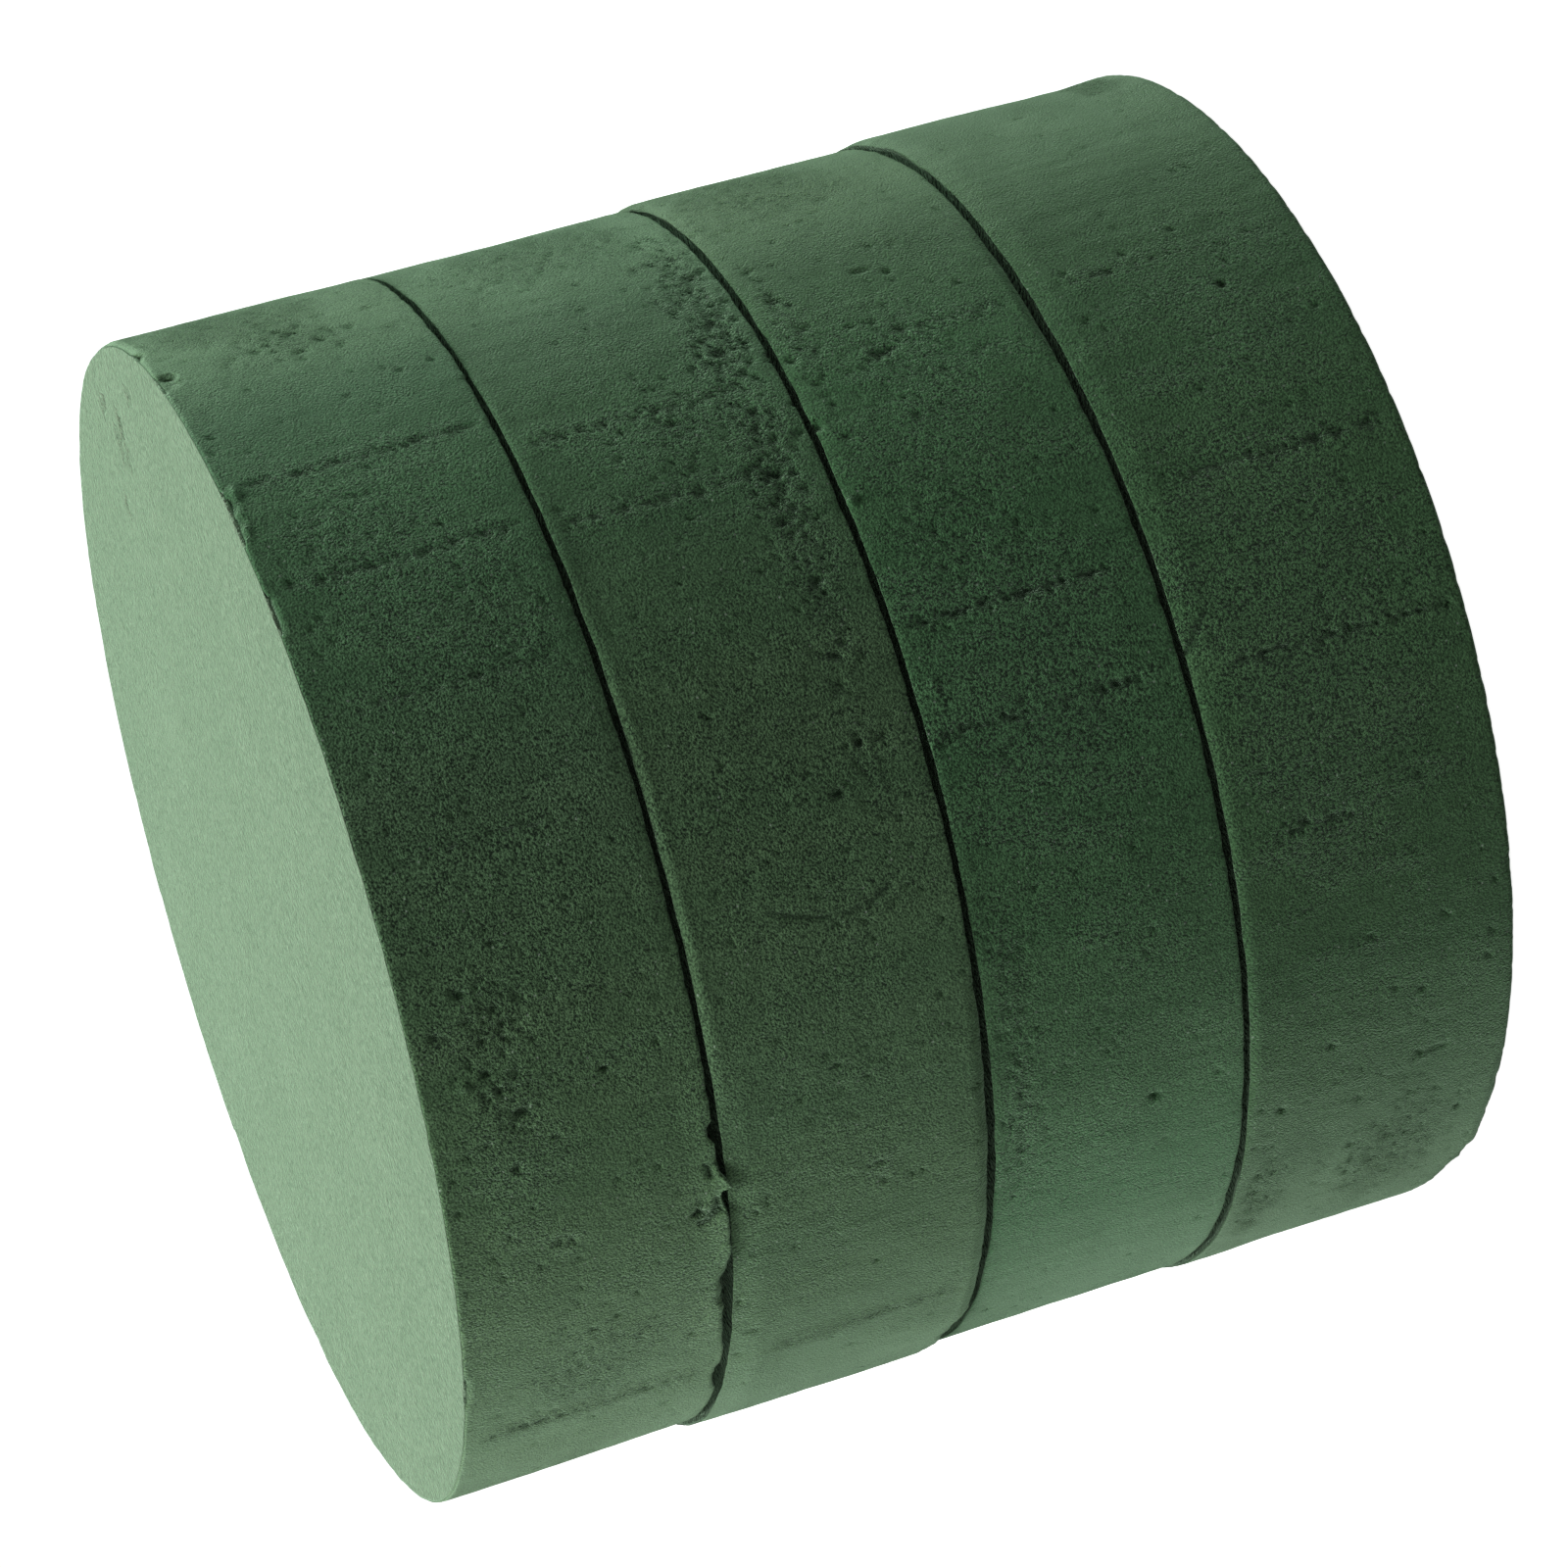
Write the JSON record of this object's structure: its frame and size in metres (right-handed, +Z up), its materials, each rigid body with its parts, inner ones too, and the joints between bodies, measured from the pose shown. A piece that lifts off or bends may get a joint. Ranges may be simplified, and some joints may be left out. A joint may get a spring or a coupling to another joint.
{
  "type": "floral foam disc stack",
  "caption": "Column of loose round floral foam discs, resting face to face, each lifting off the one below, for holding cut flower stems.",
  "frame": {"origin": "middle of the lowest disc's underside, on the surface that the column stands on", "axes": "+Z up along the discs' common axis, -Y is the front"},
  "size_m": [0.1112, 0.1112, 0.0997],
  "materials": {
    "floral_foam": "dry, open-celled, matte"
  },
  "bodies": {
    "disc_bottom": {"foam_disc_bottom": "floral_foam"},
    "disc_lower": {"foam_disc_lower": "floral_foam"},
    "disc_upper": {"foam_disc_upper": "floral_foam"},
    "disc_top": {"foam_disc_top": "floral_foam"}
  },
  "joints": [
    {"name": "lift_lower", "type": "slide", "parent": "disc_bottom", "child": "disc_lower", "axis": [0, 0, 1], "range_m": [0, 0.05]},
    {"name": "lift_upper", "type": "slide", "parent": "disc_lower", "child": "disc_upper", "axis": [0, 0, 1], "range_m": [0, 0.05]},
    {"name": "lift_top", "type": "slide", "parent": "disc_upper", "child": "disc_top", "axis": [0, 0, 1], "range_m": [0, 0.05]}
  ]
}
